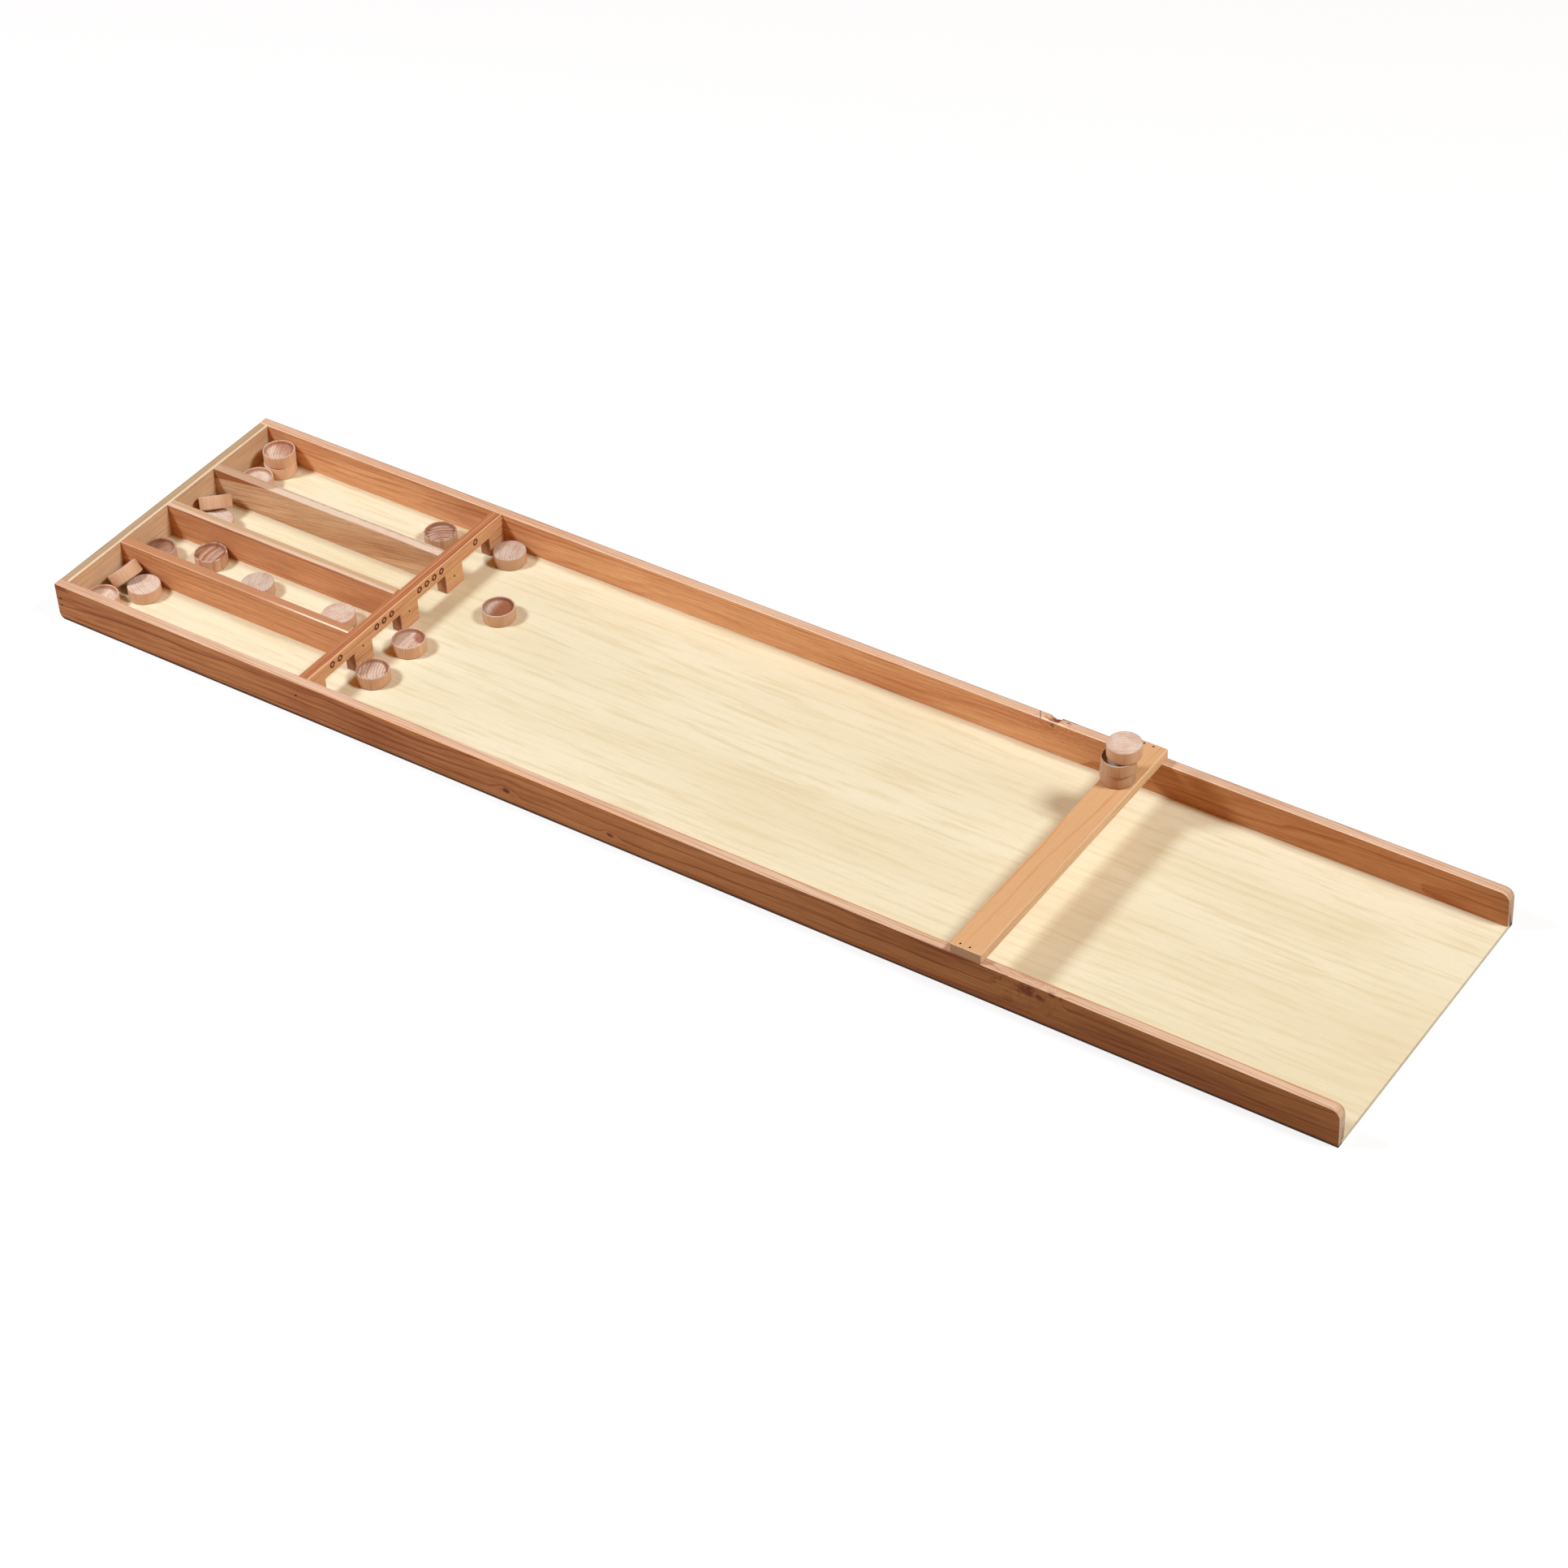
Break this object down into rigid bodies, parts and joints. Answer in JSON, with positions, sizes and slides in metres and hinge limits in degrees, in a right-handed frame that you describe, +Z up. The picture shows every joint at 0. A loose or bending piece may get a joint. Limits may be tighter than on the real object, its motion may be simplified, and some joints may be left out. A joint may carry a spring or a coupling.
{
  "type": "dutch shuffleboard",
  "caption": "Long open-ended wooden tray with a gate bar, scoring bays behind it, a start bar across the rails and loose dished discs.",
  "frame": {"origin": "middle of the board's underside, the flat that the base panel and the rails share", "axes": "+X along the board from the end wall towards the player's open end, +Y across it from the rail beside the two-point gate to the rail beside the one-point gate, +Z up"},
  "size_m": [1.75, 0.4, 0.1169],
  "materials": {
    "panel_wood": "satin",
    "rail_wood": "satin varnish",
    "pale_wood": "satin varnish",
    "gate_bar_wood": "satin varnish",
    "start_bar_wood": "satin varnish",
    "disc_wood": "smooth, waxed",
    "nail_steel": "dull"
  },
  "bodies": {
    "board": {"base_panel": "panel_wood", "near_rail": "rail_wood", "far_rail": "rail_wood", "end_wall": "pale_wood", "gate_bar": "gate_bar_wood", "divider_near": "gate_bar_wood", "divider_middle": "gate_bar_wood", "divider_far": "pale_wood", "start_bar": "start_bar_wood", "corner_nails": "nail_steel", "gate_bar_nails": "nail_steel", "divider_nails": "nail_steel", "start_bar_nails": "nail_steel", "panel_pins": "nail_steel"},
    "disc_two_point_1": {"disc_two_point_1": "disc_wood"},
    "disc_two_point_2": {"disc_two_point_2": "disc_wood"},
    "disc_two_point_3": {"disc_two_point_3": "disc_wood"},
    "disc_three_point_1": {"disc_three_point_1": "disc_wood"},
    "disc_three_point_2": {"disc_three_point_2": "disc_wood"},
    "disc_three_point_3": {"disc_three_point_3": "disc_wood"},
    "disc_three_point_4": {"disc_three_point_4": "disc_wood"},
    "disc_four_point_1": {"disc_four_point_1": "disc_wood"},
    "disc_four_point_2": {"disc_four_point_2": "disc_wood"},
    "disc_one_point_1": {"disc_one_point_1": "disc_wood"},
    "disc_one_point_2": {"disc_one_point_2": "disc_wood"},
    "disc_one_point_3": {"disc_one_point_3": "disc_wood"},
    "disc_one_point_4": {"disc_one_point_4": "disc_wood"},
    "disc_field_1": {"disc_field_1": "disc_wood"},
    "disc_field_2": {"disc_field_2": "disc_wood"},
    "disc_field_3": {"disc_field_3": "disc_wood"},
    "disc_field_4": {"disc_field_4": "disc_wood"},
    "disc_on_bar_1": {"disc_on_bar_1": "disc_wood"},
    "disc_on_bar_2": {"disc_on_bar_2": "disc_wood"},
    "disc_on_bar_3": {"disc_on_bar_3": "disc_wood"}
  },
  "joints": [
    {"name": "two_point_1_lift", "type": "slide", "parent": "board", "child": "disc_two_point_1", "axis": [0, 0, 1], "range_m": [0, 0.06]},
    {"name": "two_point_2_lift", "type": "slide", "parent": "board", "child": "disc_two_point_2", "axis": [0, 0, 1], "range_m": [0, 0.06]},
    {"name": "two_point_3_lift", "type": "slide", "parent": "disc_two_point_1", "child": "disc_two_point_3", "axis": [0, 0, 1], "range_m": [0, 0.06]},
    {"name": "three_point_1_lift", "type": "slide", "parent": "board", "child": "disc_three_point_1", "axis": [0, 0, 1], "range_m": [0, 0.06]},
    {"name": "three_point_2_lift", "type": "slide", "parent": "board", "child": "disc_three_point_2", "axis": [0, 0, 1], "range_m": [0, 0.06]},
    {"name": "three_point_3_lift", "type": "slide", "parent": "board", "child": "disc_three_point_3", "axis": [0, 0, 1], "range_m": [0, 0.06]},
    {"name": "three_point_4_slide", "type": "slide", "parent": "board", "child": "disc_three_point_4", "axis": [1, 0, 0], "range_m": [-0.08, 0.055]},
    {"name": "four_point_1_lift", "type": "slide", "parent": "board", "child": "disc_four_point_1", "axis": [0, 0, 1], "range_m": [0, 0.06]},
    {"name": "four_point_2_lift", "type": "slide", "parent": "disc_four_point_1", "child": "disc_four_point_2", "axis": [0, 0, 1], "range_m": [0, 0.06]},
    {"name": "one_point_1_lift", "type": "slide", "parent": "board", "child": "disc_one_point_1", "axis": [0, 0, 1], "range_m": [0, 0.06]},
    {"name": "one_point_2_lift", "type": "slide", "parent": "disc_one_point_1", "child": "disc_one_point_2", "axis": [0, 0, 1], "range_m": [0, 0.06]},
    {"name": "one_point_3_lift", "type": "slide", "parent": "board", "child": "disc_one_point_3", "axis": [0, 0, 1], "range_m": [0, 0.06]},
    {"name": "one_point_4_lift", "type": "slide", "parent": "board", "child": "disc_one_point_4", "axis": [0, 0, 1], "range_m": [0, 0.06]},
    {"name": "field_1_slide", "type": "slide", "parent": "board", "child": "disc_field_1", "axis": [1, 0, 0], "range_m": [-0.005, 1.316]},
    {"name": "field_2_slide", "type": "slide", "parent": "board", "child": "disc_field_2", "axis": [1, 0, 0], "range_m": [-0.005, 1.315]},
    {"name": "field_3_slide", "type": "slide", "parent": "board", "child": "disc_field_3", "axis": [1, 0, 0], "range_m": [-0.06, 1.26]},
    {"name": "field_4_slide", "type": "slide", "parent": "board", "child": "disc_field_4", "axis": [1, 0, 0], "range_m": [-0.005, 1.316]},
    {"name": "on_bar_1_lift", "type": "slide", "parent": "board", "child": "disc_on_bar_1", "axis": [0, 0, 1], "range_m": [0, 0.06]},
    {"name": "on_bar_2_lift", "type": "slide", "parent": "disc_on_bar_1", "child": "disc_on_bar_2", "axis": [0, 0, 1], "range_m": [0, 0.06]},
    {"name": "on_bar_3_lift", "type": "slide", "parent": "disc_on_bar_2", "child": "disc_on_bar_3", "axis": [0, 0, 1], "range_m": [0, 0.06]}
  ]
}
